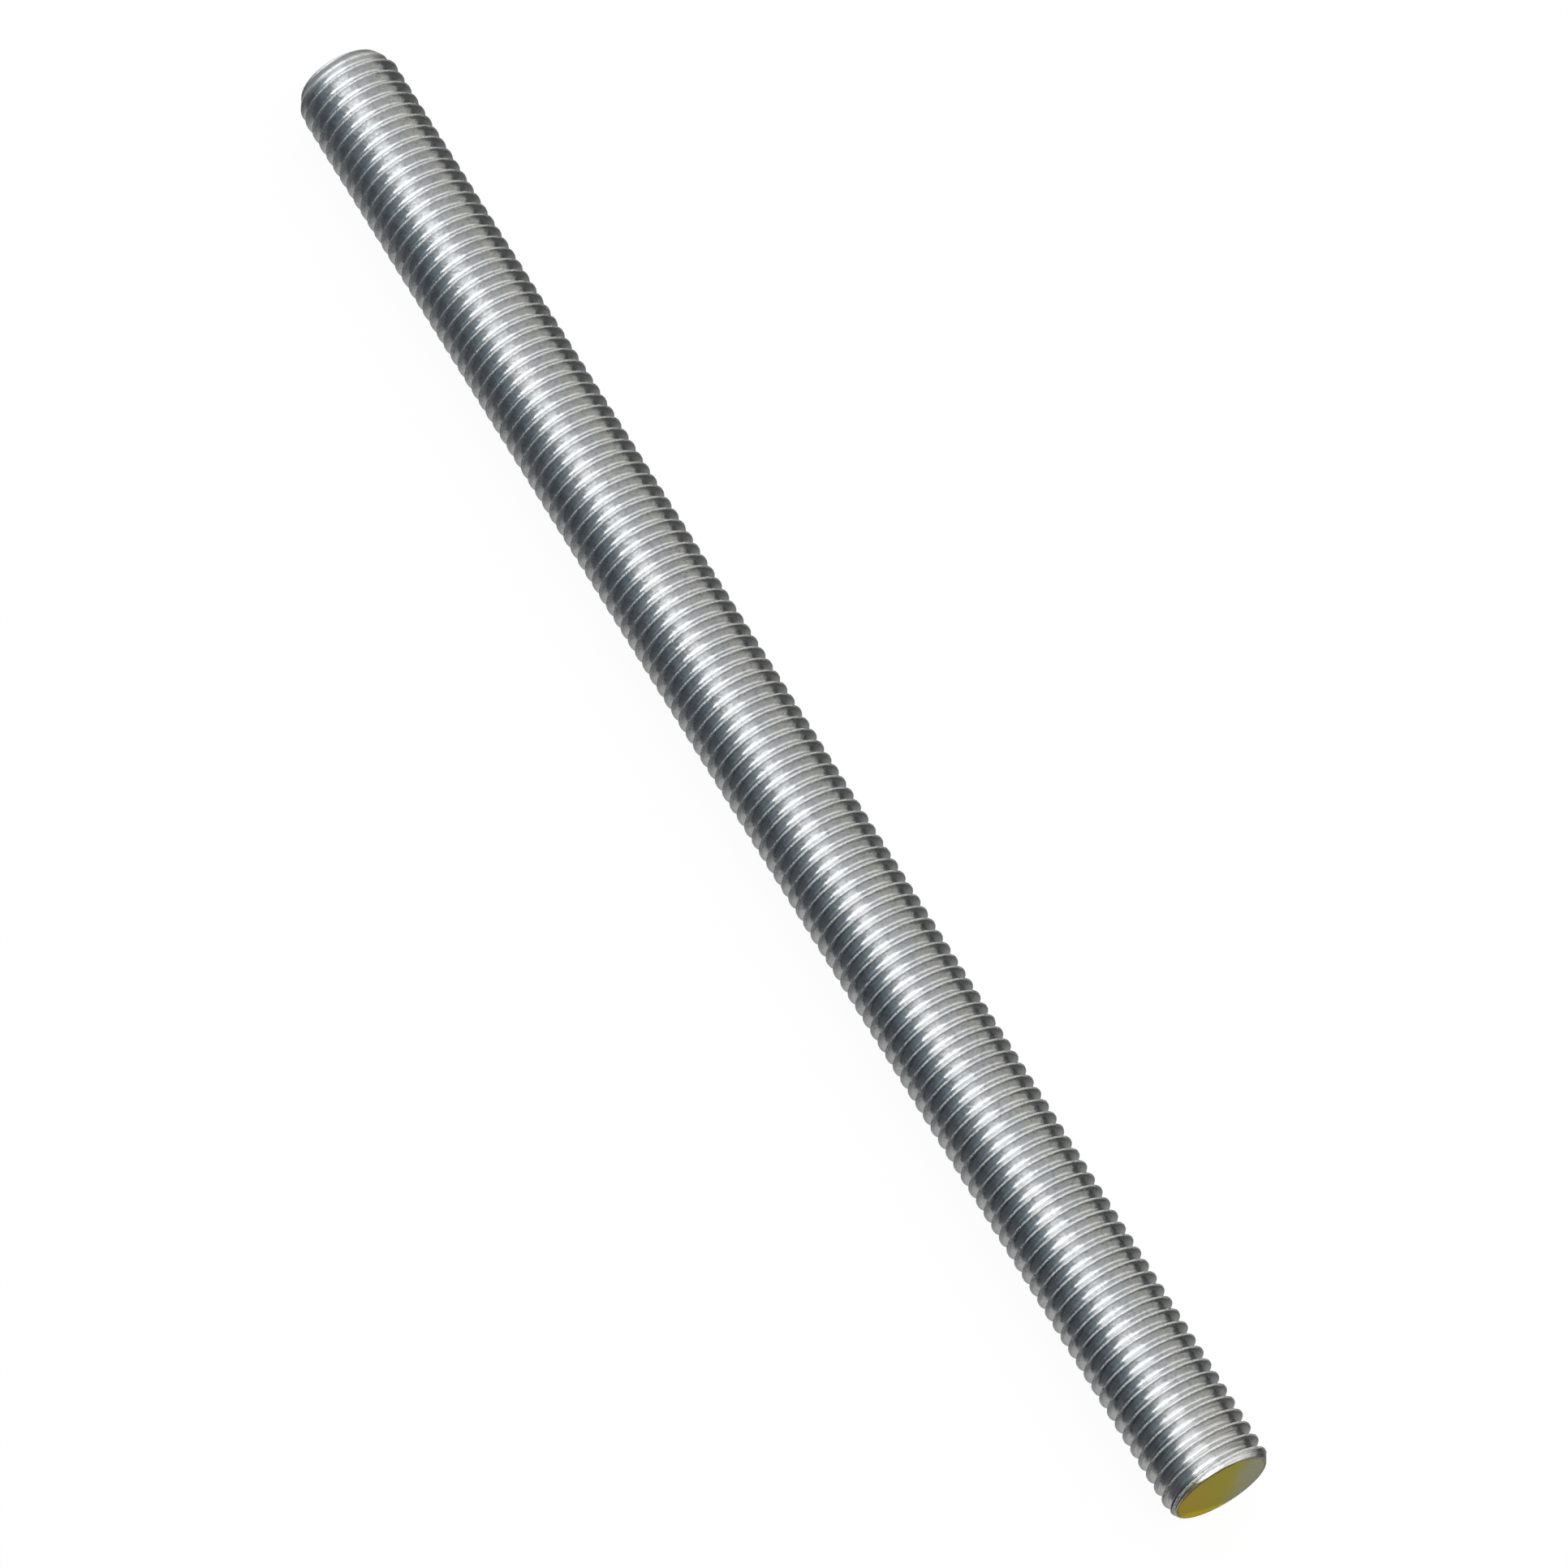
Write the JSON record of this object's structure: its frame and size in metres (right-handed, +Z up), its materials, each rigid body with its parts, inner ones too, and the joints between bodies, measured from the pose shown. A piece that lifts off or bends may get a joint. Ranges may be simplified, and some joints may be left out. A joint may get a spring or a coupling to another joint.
{
  "type": "threaded rod",
  "caption": "Zinc-plated steel rod with a coarse right-hand unified thread from end to end, chamfered ends and a yellow colour mark on one end face.",
  "frame": {"origin": "middle of the rod's length, on the surface that it lies on, so the rod's axis is at Z = 9.525 mm", "axes": "+X along the rod towards the end with the colour mark, +Z up from the surface, +Y across the rod"},
  "size_m": [0.3048, 0.019, 0.019],
  "materials": {
    "zinc_plate": "bright zinc plating over rolled steel",
    "yellow_paint": "thin brushed lacquer, glossy, pooled at one side"
  },
  "bodies": {
    "root": {"threaded_rod": "zinc_plate"}
  },
  "joints": []
}
